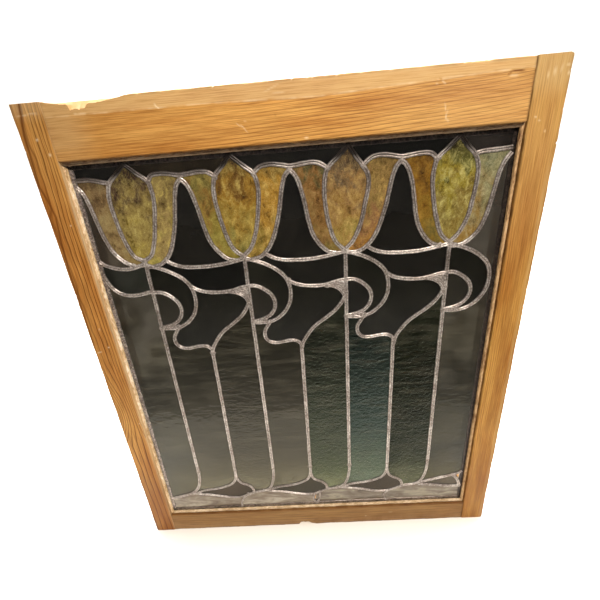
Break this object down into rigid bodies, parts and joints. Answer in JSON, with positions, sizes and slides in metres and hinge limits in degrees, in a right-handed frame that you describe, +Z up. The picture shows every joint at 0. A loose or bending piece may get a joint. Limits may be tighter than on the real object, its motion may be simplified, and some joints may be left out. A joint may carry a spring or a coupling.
{
  "type": "stained glass window",
  "caption": "Rectangular pine window sash with a leaded stained glass panel: amber tulips over leaf scrolls, long plain panes and a row of lens shapes.",
  "frame": {"origin": "middle of the sash's underside, halfway through its thickness", "axes": "+Z up, front with the glazing beads towards -Y, X across the width"},
  "size_m": [0.66, 0.035, 0.762],
  "materials": {
    "pine": "aged, worn varnish",
    "pale_bead": "bare, dry",
    "lead": "dull grey lead with brighter solder",
    "dark_green_glass": "glossy",
    "grey_green_glass": "glossy, partly hammered",
    "amber_glass": "cloudy, glossy",
    "mauve_glass": "glossy",
    "streaky_glass": "opalescent streaks"
  },
  "bodies": {
    "root": {"band_1": "dark_green_glass", "band_2": "dark_green_glass", "band_3": "dark_green_glass", "band_left": "dark_green_glass", "base_pane_1": "streaky_glass", "base_pane_2": "streaky_glass", "base_pane_3": "streaky_glass", "base_pane_left": "streaky_glass", "bell_1": "dark_green_glass", "bell_2": "dark_green_glass", "bell_3": "dark_green_glass", "bell_left": "dark_green_glass", "bell_right": "dark_green_glass", "bottom_rail": "pine", "bud_1": "dark_green_glass", "bud_2": "dark_green_glass", "bud_3": "dark_green_glass", "centre_petal_1": "amber_glass", "centre_petal_2": "amber_glass", "centre_petal_3": "amber_glass", "centre_petal_4": "amber_glass", "glazing_beads": "pale_bead", "inner_leaf_1": "dark_green_glass", "inner_leaf_2": "dark_green_glass", "inner_leaf_3": "dark_green_glass", "inner_leaf_4": "dark_green_glass", "leadwork": "lead", "left_petal_1": "amber_glass", "left_petal_2": "amber_glass", "left_petal_3": "amber_glass", "left_petal_4": "amber_glass", "left_stile": "pine", "lens_1": "mauve_glass", "lens_2": "mauve_glass", "lens_3": "mauve_glass", "lens_right": "mauve_glass", "long_pane_left_edge": "grey_green_glass", "long_pane_left_of_shoot_1": "grey_green_glass", "long_pane_left_of_shoot_2": "grey_green_glass", "long_pane_left_of_shoot_3": "grey_green_glass", "long_pane_right_edge": "grey_green_glass", "long_pane_right_of_shoot_1": "grey_green_glass", "long_pane_right_of_shoot_2": "grey_green_glass", "long_pane_right_of_shoot_3": "grey_green_glass", "outer_leaf_1": "dark_green_glass", "outer_leaf_2": "dark_green_glass", "outer_leaf_3": "dark_green_glass", "outer_leaf_4": "dark_green_glass", "right_petal_1": "amber_glass", "right_petal_2": "amber_glass", "right_petal_3": "amber_glass", "right_petal_4": "amber_glass", "right_stile": "pine", "top_ground_1": "dark_green_glass", "top_ground_2": "dark_green_glass", "top_ground_3": "dark_green_glass", "top_ground_left": "dark_green_glass", "top_ground_right": "dark_green_glass", "top_rail": "pine"}
  },
  "joints": []
}
